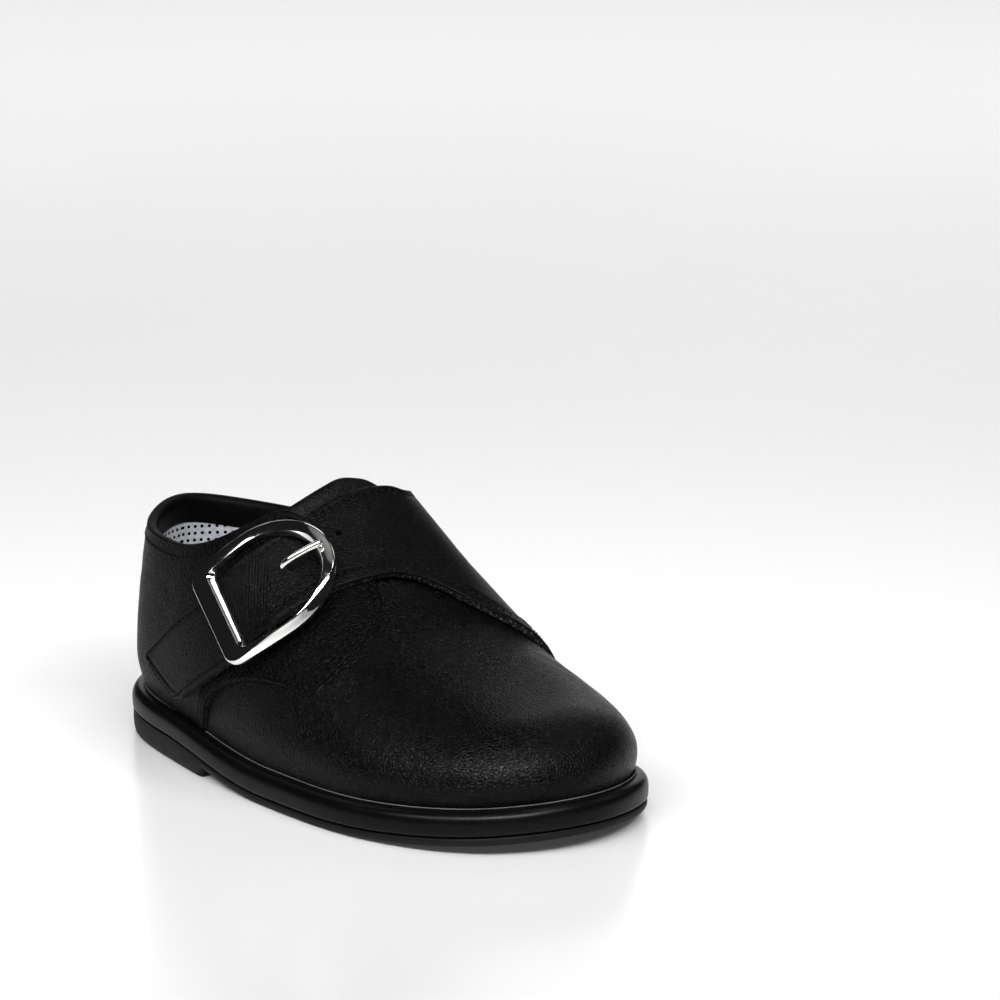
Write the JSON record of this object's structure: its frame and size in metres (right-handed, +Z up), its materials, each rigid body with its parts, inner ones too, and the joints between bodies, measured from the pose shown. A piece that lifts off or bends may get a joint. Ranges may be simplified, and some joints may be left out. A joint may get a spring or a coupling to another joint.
{
  "type": "baby shoe",
  "caption": "Right-foot baby shoe: hollow black leather upper with a tongue, an instep strap held by a metal buckle and prong, and a moulded sole with a low heel.",
  "frame": {"origin": "on the floor, under the middle of the shoe's bounding box", "axes": "+X from heel to toe, +Y to the inner side of the foot, +Z up"},
  "size_m": [0.142, 0.0674, 0.0601],
  "materials": {
    "leather": "satin black leather with a fine grain",
    "edge_rubber": "glossy black moulded edge",
    "tread_rubber": "dull dark grey rubber",
    "lining": "matte light grey lining",
    "polished_metal": "polished nickel"
  },
  "bodies": {
    "root": {"outsole": "tread_rubber", "midsole": "edge_rubber", "insole": "lining", "upper": "leather", "tongue": "leather", "strap": "leather", "buckle_frame": "polished_metal", "buckle_prong": "polished_metal"}
  },
  "joints": []
}
